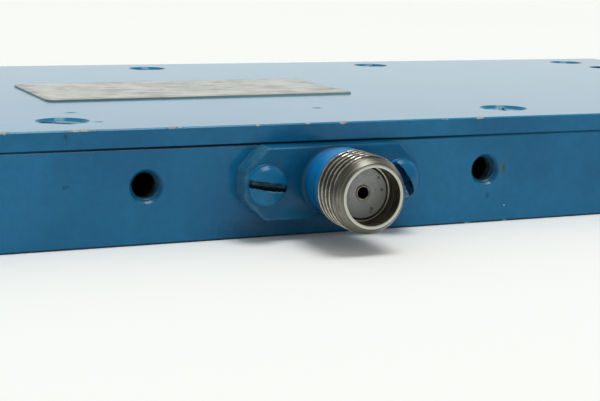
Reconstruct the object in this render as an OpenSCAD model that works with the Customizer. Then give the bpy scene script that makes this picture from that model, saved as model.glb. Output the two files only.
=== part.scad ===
// Radio-frequency power splitter: a flat milled case with a screwed lid.
// One threaded coaxial socket stands on the front face and a row of them on the back.
// A printed divider tree on the pocket floor joins their centre contacts.
// Origin at the middle of the underside, X along the case, Y from front to back, Z up.

/* [Case] */
// Distance between neighbouring output sockets
output_pitch = 15.24; // [14.8:0.02:18]
// Outermost output axis to the end face of the case
end_margin = 16.51; // [15:0.01:24]
// Outermost output axis to the end wall of the pocket
pocket_margin = 2.54; // [2:0.01:4]
// Thickness of the long front and back walls
long_wall = 9.6; // [8.6:0.05:14]
// Thickness of the floor under the circuit board
floor_thick = 3.815; // [3:0.005:5]
// Depth of the milled pocket
pocket_depth = 4.075; // [3.4:0.005:8]
// Corner radius of the milled pocket
pocket_corner = 1.6; // [0.6:0.1:2.4]
// Width of the broken outer edges of case and lid
edge_break = 0.12; // [0.05:0.01:0.4]

/* [Lid] */
// Thickness of the lid
lid_thick = 1.635; // [1.5:0.005:3]
// Lid screw axes to the long edges
lid_screw_inset = 6.1; // [4.6:0.05:6.8]
// Spacing of the two inner screws of the front row
front_screw_spacing = 42; // [38:0.1:70]
// Thread diameter of the lid screws
lid_screw_dia = 2.18; // [1.8:0.02:2.6]
// Head diameter of the lid screws
lid_screw_head = 4.1; // [3.8:0.05:4.8]
// Cone angle of the lid screw heads
lid_screw_cone = 82; // [78:1:100]
// Reach of the lid screws below the lid
lid_screw_reach = 4.3; // [3:0.1:5.5]
// Depth of the lid screw heads below the lid's top
lid_screw_sink = 0.2; // [0:0.01:0.3]

/* [Nameplate] */
// Length of the nameplate
plate_length = 31.75; // [20:0.25:50]
// Depth of the nameplate
plate_depth = 15.9; // [12:0.1:30]
// Thickness of the nameplate
plate_thick = 0.15; // [0.1:0.05:0.8]
// Corner radius of the nameplate
plate_corner = 1; // [0.1:0.1:3]
// Sideways offset of the nameplate from the middle of the lid
plate_shift = -3.6; // [-10:0.1:10]
// Offset of the nameplate towards the back of the lid
plate_back = -1.7; // [-5:0.1:8]
// Turn of the nameplate, which is stuck on a little askew
plate_turn = 1.5; // [-5:0.1:5]

/* [Fixing holes] */
// Spacing of the through holes from front to back
mount_spacing = 31.75; // [20:0.05:36]
// Diameter of the through holes
mount_hole = 3.26; // [2.4:0.02:4.4]
// Spacing of the two tapped holes in the front face
front_hole_spacing = 31.24; // [25:0.02:36]
// Bore of the tapped holes in the front face
front_hole = 2.44; // [1.8:0.02:3]
// Depth of the tapped holes in the front face
front_hole_depth = 7.1; // [4:0.1:8]

/* [Sockets] */
// Reach of a socket from the case face to its rim
socket_reach = 9.525; // [8.5:0.025:14]
// Outside diameter of the thread
thread_dia = 6.35; // [5.9:0.01:6.6]
// Outside diameter of the rim in front of the thread
rim_dia = 5.22; // [4.9:0.01:5.7]
// Length of the cone between rim and thread
nose_length = 1; // [0.3:0.05:2]
// Inside diameter of the mouth
mouth_dia = 4.6; // [4.4:0.01:4.8]
// Depth of the mouth, from the rim to the contact plane
mouth_depth = 1.95; // [1.4:0.05:3]
// Diameter of the neck between flange and thread
neck_dia = 5.5; // [5:0.05:5.8]
// Length of the neck between flange and thread
neck_length = 1.1; // [0.8:0.1:2.4]
// Diameter of the insulator
insulator_dia = 4.1; // [3.6:0.01:4.3]
// Diameter of the centre contact
contact_dia = 1.27; // [1.1:0.01:1.5]
// Bore of the centre contact
contact_bore = 0.94; // [0.8:0.01:1]
// Depth of the bore in the centre contact
contact_bore_depth = 2.9; // [2:0.1:5]
// Length of the flat tab at the inner end of the contact
tab_length = 2.1; // [1.2:0.1:2.2]
// Thickness of the flat tab
tab_thick = 0.25; // [0.1:0.01:0.5]

/* [Socket flanges] */
// Height of the flanges
flange_height = 6.1; // [5.6:0.02:6.2]
// Thickness of the flanges
flange_thick = 2.05; // [1.2:0.01:2.4]
// Cut-off at the corners of the flanges
flange_corner = 1.85; // [0.6:0.05:2.2]
// Length of the input flange
input_flange = 15.88; // [15.8:0.02:18]
// Spacing of the two screws in the input flange
input_screw_spacing = 12.22; // [11:0.02:12.3]
// Length of each output flange
output_flange = 13.97; // [13.8:0.01:14.6]
// Spacing of the two screws in each output flange
output_screw_spacing = 10.16; // [9.6:0.02:10.3]
// Thread diameter of the flange screws
flange_screw_dia = 2.18; // [1.8:0.02:2.5]
// Head diameter of the flange screws
flange_screw_head = 3.3; // [3:0.02:3.7]
// Height of the domed screw heads
flange_screw_dome = 1.2; // [0.9:0.05:1.6]
// Reach of the flange screws into the case
flange_screw_reach = 3.6; // [2.5:0.1:4]

/* [Circuit] */
// Thickness of the circuit board
board_thick = 0.79; // [0.5:0.01:1.2]
// Gap between the circuit board and the pocket wall
board_gap = 0.25; // [0.1:0.05:0.5]
// Thickness of the printed copper
copper_thick = 0.07; // [0.03:0.01:0.12]
// End of the copper to the pocket wall
copper_edge = 0.63; // [0.55:0.01:1.2]
// Depth of one divider stage
stage_depth = 13.5; // [12:0.1:18]
// Width of the main lines
line_width = 2.2; // [1.6:0.05:2.4]
// Gap between the two lines that leave a stage
line_gap = 1.6; // [1:0.05:2]
// Width of the two arms of a stage
arm_width = 1.2; // [0.8:0.05:1.6]
// Outside width of the ring that the two arms form
ring_width = 9; // [8:0.1:11]
// Outside depth of that ring
ring_depth = 6.2; // [4.5:0.1:7]
// Length of the line that leads into a ring
lead_in = 2; // [1:0.1:2.4]
// Length of the isolation resistors
resistor_length = 3.2; // [2.6:0.05:4]
// Width of the isolation resistors
resistor_width = 1.6; // [0.8:0.05:2]
// Height of the isolation resistors
resistor_height = 0.6; // [0.3:0.05:1]
// Thread diameter of the board screws
board_screw_dia = 2.18; // [1.6:0.02:2.4]
// Head diameter of the board screws
board_screw_head = 3.8; // [3:0.05:4.2]
// Height of the board screw heads
board_screw_dome = 1.1; // [0.8:0.05:1.5]
// Reach of the board screws into the floor
board_screw_reach = 2.2; // [1.4:0.1:2.4]

/* [Fits] */
// Clearance around a piece that sits in a bore
fit_gap = 0.03; // [0.01:0.01:0.06]
// Clearance around a screw in the piece that it holds
screw_gap = 0.2; // [0.1:0.01:0.25]
// Spare depth of a blind hole past its screw
drill_spare = 0.5; // [0.2:0.1:0.5]
// Width of the screw slots
slot_width = 0.6; // [0.4:0.05:0.8]
// Depth of the screw slots
slot_depth = 0.55; // [0.3:0.05:0.7]
// Width of the countersink round each tapped front hole
mouth_break = 0.2; // [0.05:0.05:0.3]

/* [Hidden] */
$fn = 64;
stages = 3;
outputs = pow(2, stages);
over = 1;

// The pocket follows the divider, and the case follows the pocket.
pocket_length = (outputs - 1) * output_pitch + 2 * pocket_margin;
pocket_width = stages * stage_depth + 2 * copper_edge;
case_length = (outputs - 1) * output_pitch + 2 * end_margin;
case_depth = pocket_width + 2 * long_wall;
case_height = floor_thick + pocket_depth;
front_face = -case_depth / 2;
back_face = case_depth / 2;
lid_top = case_height + lid_thick;

// The contact tabs lie flat on the copper, which sets the height of every socket.
copper_z = floor_thick + board_thick;
copper_top = copper_z + copper_thick;
axis_z = copper_top + tab_thick / 2;
copper_front = -stages * stage_depth / 2;

// Screws and holes at the ends stand half a pitch outside the outermost sockets.
end_column = outputs / 2 * output_pitch;
lid_row = case_depth / 2 - lid_screw_inset;
lid_screw_spots = concat(
    [for (x = [-end_column, -front_screw_spacing / 2, front_screw_spacing / 2, end_column]) [x, -lid_row]],
    [for (x = [-end_column : 2 * output_pitch : end_column + over]) [x, lid_row]]
);
mount_spots = [for (x = [-end_column, end_column], y = [-mount_spacing / 2, mount_spacing / 2]) [x, y]];
board_screw_spots = [
    [0, stage_y(2.4)],
    for (side = [-1, 1]) [side * output_pitch, stage_y(0.4)],
    for (side = [-1, 1]) [side * 3 * output_pitch, stage_y(0.6)],
    for (side = [-1, 1]) [side * 2 * output_pitch, stage_y(2.4)]
];
lid_slot_first = 40;
lid_slot_step = 105;
input_slot_turns = [-9, -57];
output_slot_step = 53;

// Places

function stage_y(count) = copper_front + count * stage_depth;

// Centre lines of the stages on one level, where level 0 is the input and the last is the outputs
function level_centres(level) =
    let (count = pow(2, level), step = outputs * output_pitch / count)
    [for (k = [0 : count - 1]) (k - (count - 1) / 2) * step];

function output_x(i) = level_centres(stages)[i - 1];

module at_input() {
    translate([0, front_face, axis_z]) rotate([90, 0, 0]) children();
}

module at_output(i) {
    translate([output_x(i), back_face, axis_z]) rotate([90, 0, 180]) children();
}

module at_every_output() {
    for (i = [1 : outputs]) at_output(i) children();
}

module at_spots(spots, z) {
    for (spot = spots) translate([spot.x, spot.y, z]) children();
}

// Shared shapes

module chamfered_rect(length, width, cut) {
    x = length / 2;
    y = width / 2;
    polygon([
        [-x + cut, -y], [x - cut, -y], [x, -y + cut], [x, y - cut],
        [x - cut, y], [-x + cut, y], [-x, y - cut], [-x, -y + cut]
    ]);
}

module rounded_rect(length, width, radius) {
    square([length - 2 * radius, width], center = true);
    square([length, width - 2 * radius], center = true);
    for (x = [-1, 1], y = [-1, 1])
        translate([x * (length / 2 - radius), y * (width / 2 - radius)]) circle(r = radius);
}

// A plate of the case's outline with every outer edge broken
module broken_slab(height) {
    intersection() {
        linear_extrude(height)
            chamfered_rect(case_length, case_depth, edge_break);
        translate([0, case_depth / 2, height / 2]) rotate([90, 0, 0]) linear_extrude(case_depth)
            chamfered_rect(case_length, height, edge_break);
        translate([-case_length / 2, 0, height / 2]) rotate([90, 0, 90]) linear_extrude(case_length)
            chamfered_rect(case_depth, height, edge_break);
    }
}

// A drilled hole that goes down from the origin
module drill(dia, depth) {
    translate([0, 0, -depth]) cylinder(d = dia, h = depth + over);
}

// A low dome on a short straight side, with a screwdriver slot
module domed_head(dia, height, turn) {
    side = height / 2;
    rise = height - side;
    ball = (dia * dia / 4 + rise * rise) / (2 * rise);
    difference() {
        intersection() {
            cylinder(d = dia, h = height);
            translate([0, 0, height - ball]) sphere(r = ball);
        }
        rotate([0, 0, turn]) screw_slot(dia, height);
    }
}

module screw_slot(dia, top) {
    translate([0, 0, top + (over - slot_depth) / 2])
        cube([dia + over, slot_width, slot_depth + over], center = true);
}

module domed_screw(thread, head, dome, shank, turn) {
    domed_head(head, dome, turn);
    translate([0, 0, -shank]) cylinder(d = thread, h = shank);
}

// Case and lid

lid_head_depth = (lid_screw_head - lid_screw_dia) / 2 / tan(lid_screw_cone / 2);

module flat_head() {
    translate([0, 0, -lid_head_depth])
        cylinder(d1 = lid_screw_dia, d2 = lid_screw_head, h = lid_head_depth);
}

// The seat of a flat head, which goes down from the lid's top and, under a deep head, into the case
module countersink() {
    depth = lid_screw_sink + lid_head_depth;
    foot = lid_screw_dia + 2 * fit_gap;
    translate([0, 0, -depth])
        cylinder(d1 = foot, d2 = foot + 2 * (depth + over) * tan(lid_screw_cone / 2), h = depth + over);
}

module socket_holes(screw_spacing) {
    drill(insulator_dia + 2 * fit_gap, long_wall + over);
    for (side = [-1, 1])
        translate([side * screw_spacing / 2, 0, 0])
            drill(flange_screw_dia + 2 * fit_gap, flange_screw_reach + drill_spare);
}

module front_tapped_hole() {
    drill(front_hole, front_hole_depth);
    translate([0, 0, -mouth_break])
        cylinder(d1 = front_hole, d2 = front_hole + 2 * mouth_break, h = mouth_break);
}

module housing() {
    color("steelblue") difference() {
        broken_slab(case_height);
        translate([0, 0, floor_thick]) linear_extrude(pocket_depth + over)
            rounded_rect(pocket_length, pocket_width, pocket_corner);
        at_spots(lid_screw_spots, case_height)
            drill(lid_screw_dia + 2 * fit_gap, lid_screw_reach + drill_spare);
        at_spots(lid_screw_spots, lid_top) countersink();
        at_spots(mount_spots, case_height) drill(mount_hole, case_height + over);
        at_spots(board_screw_spots, floor_thick)
            drill(board_screw_dia + 2 * fit_gap, board_screw_reach + drill_spare);
        at_input() socket_holes(input_screw_spacing);
        at_every_output() socket_holes(output_screw_spacing);
        for (side = [-1, 1])
            translate([side * front_hole_spacing / 2, 0, 0]) at_input() front_tapped_hole();
    }
}

module lid() {
    color("steelblue") difference() {
        translate([0, 0, case_height]) broken_slab(lid_thick);
        at_spots(lid_screw_spots, lid_top) {
            drill(lid_screw_dia + 2 * fit_gap, lid_thick + over);
            countersink();
        }
        at_spots(mount_spots, lid_top) drill(mount_hole, lid_thick + over);
    }
}

module lid_screws() {
    shank = lid_screw_reach + lid_thick - lid_screw_sink;
    color("steelblue") for (i = [0 : len(lid_screw_spots) - 1])
        translate([lid_screw_spots[i].x, lid_screw_spots[i].y, lid_top - lid_screw_sink]) {
            difference() {
                flat_head();
                rotate([0, 0, lid_slot_first + i * lid_slot_step]) screw_slot(lid_screw_head, 0);
            }
            translate([0, 0, -shank]) cylinder(d = lid_screw_dia, h = shank - lid_head_depth);
        }
}

module nameplate() {
    color("tan") translate([plate_shift, plate_back, lid_top]) rotate([0, 0, plate_turn])
        linear_extrude(plate_thick) rounded_rect(plate_length, plate_depth, plate_corner);
}

// Sockets, drawn with the case face at zero and the rim upwards

contact_plane = socket_reach - mouth_depth;
thread_start = flange_thick + neck_length;

module socket_shell(flange_length, screw_spacing) {
    difference() {
        union() {
            linear_extrude(flange_thick) chamfered_rect(flange_length, flange_height, flange_corner);
            rotate_extrude() polygon([
                [0, 0], [neck_dia / 2, 0], [neck_dia / 2, thread_start],
                [thread_dia / 2, thread_start + (thread_dia - neck_dia) / 2],
                [thread_dia / 2, socket_reach - nose_length], [rim_dia / 2, socket_reach], [0, socket_reach]
            ]);
        }
        translate([0, 0, -over]) cylinder(d = insulator_dia + 2 * fit_gap, h = socket_reach);
        translate([0, 0, contact_plane]) cylinder(d = mouth_dia, h = mouth_depth + over);
        for (side = [-1, 1])
            translate([side * screw_spacing / 2, 0, flange_thick])
                drill(flange_screw_dia + 2 * screw_gap, flange_thick + over);
    }
}

module socket_insulator() {
    difference() {
        translate([0, 0, -long_wall]) cylinder(d = insulator_dia, h = long_wall + contact_plane);
        translate([0, 0, contact_plane]) drill(contact_dia + 2 * fit_gap, long_wall + contact_plane + over);
    }
}

module socket_contact() {
    difference() {
        translate([0, 0, -long_wall]) cylinder(d = contact_dia, h = long_wall + contact_plane);
        translate([0, 0, contact_plane]) drill(contact_bore, contact_bore_depth);
    }
    intersection() {
        translate([0, 0, -long_wall - tab_length]) cylinder(d = contact_dia, h = tab_length);
        translate([0, 0, -long_wall]) cube([contact_dia, tab_thick, 2 * tab_length], center = true);
    }
}

module flange_screw_pair(spacing, turns) {
    for (k = [0, 1])
        translate([(k - 0.5) * spacing, 0, flange_thick])
            domed_screw(flange_screw_dia, flange_screw_head, flange_screw_dome,
                flange_thick + flange_screw_reach, turns[k]);
}

module input_shell() {
    color("silver") at_input() socket_shell(input_flange, input_screw_spacing);
}

module input_insulator() {
    color("whitesmoke") at_input() socket_insulator();
}

module input_contact() {
    color("goldenrod") at_input() socket_contact();
}

module input_flange_screws() {
    color("steelblue") at_input() flange_screw_pair(input_screw_spacing, input_slot_turns);
}

module output_shell(i) {
    color("silver") at_output(i) socket_shell(output_flange, output_screw_spacing);
}

module output_insulator(i) {
    color("whitesmoke") at_output(i) socket_insulator();
}

module output_contact(i) {
    color("goldenrod") at_output(i) socket_contact();
}

module output_flange_screws() {
    color("steelblue") for (i = [1 : outputs])
        at_output(i) flange_screw_pair(output_screw_spacing, [i * output_slot_step, (i + 4) * output_slot_step]);
}

// Divider circuit

module divider_board() {
    color("wheat") difference() {
        translate([0, 0, floor_thick]) linear_extrude(board_thick)
            rounded_rect(pocket_length - 2 * board_gap, pocket_width - 2 * board_gap, pocket_corner);
        at_spots(board_screw_spots, copper_z)
            drill(board_screw_dia + 2 * screw_gap, board_thick + over);
    }
}

// One stage: the line in, the ring of two arms and the two lines out to the next level.
// From the second level on, the line in starts inside the line that feeds it.
module stage_copper(stage) {
    spread = outputs * output_pitch / pow(2, stage + 2);
    ring_end = lead_in + ring_depth;
    start = stage > 0 ? -line_width : 0;
    translate([-line_width / 2, start]) square([line_width, lead_in + arm_width - start]);
    difference() {
        translate([-ring_width / 2, lead_in]) square([ring_width, ring_depth]);
        translate([-ring_width / 2 + arm_width, lead_in + arm_width])
            square([ring_width - 2 * arm_width, ring_depth - 2 * arm_width]);
        translate([-line_gap / 2, ring_end - 2 * arm_width]) square([line_gap, 2 * arm_width + over]);
    }
    for (side = [0, 1]) mirror([side, 0]) {
        translate([line_gap / 2, ring_end - arm_width])
            square([line_width, stage_depth - ring_end + arm_width]);
        translate([line_gap / 2, stage_depth - line_width])
            square([spread + (line_width - line_gap) / 2, line_width]);
    }
}

module divider_trace() {
    color("peru") translate([0, 0, copper_z]) linear_extrude(copper_thick)
        for (stage = [0 : stages - 1], x = level_centres(stage))
            translate([x, stage_y(stage)]) stage_copper(stage);
}

module isolation_resistors() {
    color("dimgray") for (stage = [0 : stages - 1], x = level_centres(stage))
        translate([x, stage_y(stage) + lead_in + ring_depth - arm_width / 2, copper_top + resistor_height / 2])
            cube([resistor_length, resistor_width, resistor_height], center = true);
}

module board_screws() {
    color("silver") at_spots(board_screw_spots, copper_z)
        domed_screw(board_screw_dia, board_screw_head, board_screw_dome, board_thick + board_screw_reach, 0);
}

housing();
lid();
lid_screws();
nameplate();
input_shell();
input_insulator();
input_contact();
input_flange_screws();
for (i = [1 : outputs]) {
    output_shell(i);
    output_insulator(i);
    output_contact(i);
}
output_flange_screws();
divider_board();
divider_trace();
isolation_resistors();
board_screws();
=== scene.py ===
import math

import bmesh
import bpy
from mathutils import Matrix, Vector, noise


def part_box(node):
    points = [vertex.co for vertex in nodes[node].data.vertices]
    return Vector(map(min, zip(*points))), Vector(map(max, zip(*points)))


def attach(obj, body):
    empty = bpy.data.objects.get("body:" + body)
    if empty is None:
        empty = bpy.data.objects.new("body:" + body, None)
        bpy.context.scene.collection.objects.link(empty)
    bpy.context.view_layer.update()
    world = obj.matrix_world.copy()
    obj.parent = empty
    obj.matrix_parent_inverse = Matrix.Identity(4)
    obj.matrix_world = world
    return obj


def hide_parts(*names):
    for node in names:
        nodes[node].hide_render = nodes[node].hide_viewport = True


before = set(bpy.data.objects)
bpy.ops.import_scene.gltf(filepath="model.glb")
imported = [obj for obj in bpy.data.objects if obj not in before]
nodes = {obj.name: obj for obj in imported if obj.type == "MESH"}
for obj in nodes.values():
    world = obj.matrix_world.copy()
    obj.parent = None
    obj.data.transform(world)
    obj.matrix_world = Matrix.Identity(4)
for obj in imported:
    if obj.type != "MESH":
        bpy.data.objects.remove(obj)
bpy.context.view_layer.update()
MM = 0.001

# Sizes of the part that the pieces below follow, in millimetres
housing_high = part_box("housing")[1] / MM
lid_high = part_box("lid")[1] / MM
FACE = housing_high.y
HALF_LENGTH = housing_high.x
SEAM = housing_high.z
TOP = lid_high.z
contact_low, contact_high = (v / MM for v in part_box("input_contact"))
AXIS_Z = (contact_low.z + contact_high.z) / 2
CONTACT_PLANE = -FACE - contact_low.y
OUTPUTS = 8
OUTPUT_X = []
for index in range(OUTPUTS):
    low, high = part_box(f"output_{index + 1}_contact")
    OUTPUT_X.append((low.x + high.x) / 2 / MM)
HALF_PITCH = (OUTPUT_X[1] - OUTPUT_X[0]) / 2
shell_low, shell_high = (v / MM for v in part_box("input_shell"))
REACH = -FACE - shell_low.y
INPUT_FLANGE = shell_high.x - shell_low.x
OUTPUT_FLANGE = 13.97
FLANGE = 2.05
FLANGE_HEIGHT = 6.1
FLANGE_CUT = 1.85
INPUT_SCREWS = 12.22
OUTPUT_SCREWS = 10.16
SCREW_HEAD = 3.3
SCREW_DOME = 1.2
SCREW_REACH = 3.6
SCREW_SHANK_R = 1.09
SLOT_DEPTH = 0.5
SLOT_HALF = 0.34
SLOT_LIP = 0.09
# A socket's thread and barrel. The plain barrel lies a little below the thread's crests.
THREAD_R = 3.175
THREAD_DEPTH = 0.42
PITCH = 0.7056
PLAIN_BELOW = 0.05
NECK_R = 2.75
NECK_FILLET = 0.3
SHOULDER = 3.15
# Distance of the foremost crest behind the rim, on the left side of the input socket
FIRST_CREST = 0.87
# The paint on a barrel ends at this distance from the case
BARE_FROM = 5.5
RIM_R = 2.61
NOSE = 1.0
MOUTH_R = 2.3
INSULATOR_R = 2.05
CONTACT_R = 0.635
CONTACT_BORE_R = 0.47
# The dirt along the nameplate's front edge runs askew by this angle
PLATE_TURN = math.radians(1.5)
TAPPED_X = 15.62
TAPPED_R = 1.22
TAPPED_DEPTH = 6.9
TAPPED_PITCH = 0.635
# Half sizes of the region inside the housing that has no paint
BARE_X = 56.0
BARE_Y = 21.0
# Half length of the glaze on a chip resistor
GLAZE = 1.05


# Shader graphs


class Graph:
    """A material's node tree, with one short method for each kind of node used here."""

    def __init__(self, name):
        self.material = bpy.data.materials.new(name)
        self.material.use_nodes = True
        self.tree = self.material.node_tree
        self.tree.nodes.clear()
        coords = self.tree.nodes.new("ShaderNodeTexCoord")
        self.place = self.vector("SCALE", coords.outputs["Object"], scale=1 / MM)
        parts = self.tree.nodes.new("ShaderNodeSeparateXYZ")
        self.tree.links.new(self.place, parts.inputs[0])
        self.x, self.y, self.z = parts.outputs

    def put(self, socket, value):
        """Links an output to a socket, or sets the socket to a number or a colour."""
        if isinstance(value, bpy.types.NodeSocket):
            self.tree.links.new(value, socket)
        else:
            socket.default_value = value

    def math(self, operation, a, b=0.0, clamp=False):
        node = self.tree.nodes.new("ShaderNodeMath")
        node.operation = operation
        node.use_clamp = clamp
        self.put(node.inputs[0], a)
        self.put(node.inputs[1], b)
        return node.outputs[0]

    def vector(self, operation, a, b=None, scale=None):
        node = self.tree.nodes.new("ShaderNodeVectorMath")
        node.operation = operation
        self.put(node.inputs[0], a)
        if b is not None:
            self.put(node.inputs[1], b)
        if scale is not None:
            self.put(node.inputs["Scale"], scale)
        return node.outputs["Value"] if operation == "LENGTH" else node.outputs["Vector"]

    def join(self, x, y, z):
        node = self.tree.nodes.new("ShaderNodeCombineXYZ")
        for socket, value in zip(node.inputs, (x, y, z)):
            self.put(socket, value)
        return node.outputs[0]

    def grey(self, value):
        return self.join(value, value, value)

    def noise(self, scale, detail=2.0, rough=0.5, at=None, stretch=None):
        where = self.place if at is None else at
        if stretch is not None:
            where = self.vector("MULTIPLY", where, stretch)
        node = self.tree.nodes.new("ShaderNodeTexNoise")
        self.put(node.inputs["Vector"], where)
        node.inputs["Scale"].default_value = scale
        node.inputs["Detail"].default_value = detail
        node.inputs["Roughness"].default_value = rough
        return node.outputs["Fac"]

    def cells(self, scale):
        node = self.tree.nodes.new("ShaderNodeTexVoronoi")
        self.put(node.inputs["Vector"], self.place)
        node.inputs["Scale"].default_value = scale
        return node.outputs["Distance"]

    def span(self, value, low, high, out_low=0.0, out_high=1.0, smooth=True):
        """Takes the range from low to high to that from out_low to out_high, and clamps outside it."""
        node = self.tree.nodes.new("ShaderNodeMapRange")
        node.interpolation_type = "SMOOTHSTEP" if smooth else "LINEAR"
        node.clamp = True
        for socket, number in zip(node.inputs, (value, low, high, out_low, out_high)):
            self.put(socket, number)
        return node.outputs["Result"]

    def blend(self, factor, a, b, mode="MIX"):
        node = self.tree.nodes.new("ShaderNodeMix")
        node.data_type = "RGBA"
        node.blend_type = mode
        sockets = {s.identifier: s for s in node.inputs}
        self.put(sockets["Factor_Float"], factor)
        for key, value in (("A_Color", a), ("B_Color", b)):
            self.put(sockets[key], value if isinstance(value, bpy.types.NodeSocket) else (*value, 1.0))
        return next(s for s in node.outputs if s.identifier == "Result_Color")

    def either(self, *masks):
        out = masks[0]
        for mask in masks[1:]:
            out = self.math("MAXIMUM", out, mask)
        return out

    def both(self, a, b):
        return self.math("MULTIPLY", a, b)

    def invert(self, mask):
        return self.math("SUBTRACT", 1.0, mask)

    def bump(self, height, distance, normal=None):
        node = self.tree.nodes.new("ShaderNodeBump")
        node.inputs["Distance"].default_value = distance * MM
        self.put(node.inputs["Height"], height)
        if normal is not None:
            self.put(node.inputs["Normal"], normal)
        return node.outputs["Normal"]

    def rounded(self, radius):
        node = self.tree.nodes.new("ShaderNodeBevel")
        node.samples = 4
        node.inputs["Radius"].default_value = radius * MM
        return node.outputs["Normal"]

    def upward(self):
        """1 on level faces that look up, less on slopes such as a countersink, 0 on walls."""
        node = self.tree.nodes.new("ShaderNodeNewGeometry")
        parts = self.tree.nodes.new("ShaderNodeSeparateXYZ")
        self.tree.links.new(node.outputs["True Normal"], parts.inputs[0])
        return self.span(parts.outputs["Z"], 0.45, 0.80)

    def spot(self, centre, radii, wobble, edge=0.25):
        """1 inside a ragged ellipsoid, 0 outside it."""
        away = self.vector("SUBTRACT", self.place, centre)
        away = self.vector("DIVIDE", away, radii)
        reach = self.math("ADD", self.vector("LENGTH", away), wobble)
        return self.span(reach, 1.0 - edge, 1.0 + edge, 1.0, 0.0)

    def surface(self, colour, rough, normal=None, metal=0.0, ior=1.45):
        node = self.tree.nodes.new("ShaderNodeBsdfPrincipled")
        self.put(node.inputs["Base Color"], colour)
        self.put(node.inputs["Roughness"], rough)
        self.put(node.inputs["Metallic"], metal)
        node.inputs["IOR"].default_value = ior
        if normal is not None:
            self.put(node.inputs["Normal"], normal)
        out = self.tree.nodes.new("ShaderNodeOutputMaterial")
        self.tree.links.new(node.outputs[0], out.inputs["Surface"])
        return self.material


PAINT_DEEP = (0.003, 0.110, 0.244)
PAINT_PALE = (0.006, 0.144, 0.302)
# The pale tone of upward faces is a painted reflection
PAINT_TOP_SHEEN = (0.042, 0.252, 0.412)
LID_PRIMER = ((0.47, 0.50, 0.47), (0.30, 0.32, 0.29))
# The housing's pale blue-white primer also gives the painted glints at the feet of the tapped holes
HOUSING_PRIMER_AND_GLINT = ((0.42, 0.56, 0.64), (0.24, 0.39, 0.48))
GRIME = (0.002, 0.010, 0.018)
RUBBED = (0.085, 0.115, 0.110)
PAINT_IOR = 1.33


def paint_colour(g):
    """Blue paint: slow drifts of tone and a fine mottle."""
    drift = g.span(g.noise(0.09, 3.0), 0.35, 0.65)
    drift = g.math("SUBTRACT", drift, g.span(g.x, 8.0, 35.0, 0.0, 0.35), clamp=True)
    colour = g.blend(drift, PAINT_DEEP, PAINT_PALE)
    mottle = g.span(g.noise(1.5, 4.0, 0.6), 0.3, 0.75, 0.93, 1.06)
    return g.blend(1.0, colour, g.grey(mottle), "MULTIPLY")


def paint_height(g):
    """Height of the paint's surface in hundredths of a millimetre: brush waves, orange peel and grit."""
    wave = g.math("MULTIPLY", g.noise(0.35, 2.0), 0.8)
    peel = g.math("MULTIPLY", g.noise(2.6, 2.0, 0.4), 0.22)
    grit = g.span(g.cells(0.55), 0.0, 0.09, 0.7, 0.0)
    return g.math("ADD", g.math("ADD", wave, peel), grit)


def paint_rough(g):
    return g.span(g.noise(0.5, 4.0, 0.6), 0.25, 0.75, 0.12, 0.20)


def to_tapped_axis(g):
    """Distance to the axis of the nearest tapped front hole."""
    off = g.math("SUBTRACT", g.math("ABSOLUTE", g.x), TAPPED_X)
    return g.vector("LENGTH", g.join(off, 0.0, g.math("SUBTRACT", g.z, AXIS_Z)))


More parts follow.
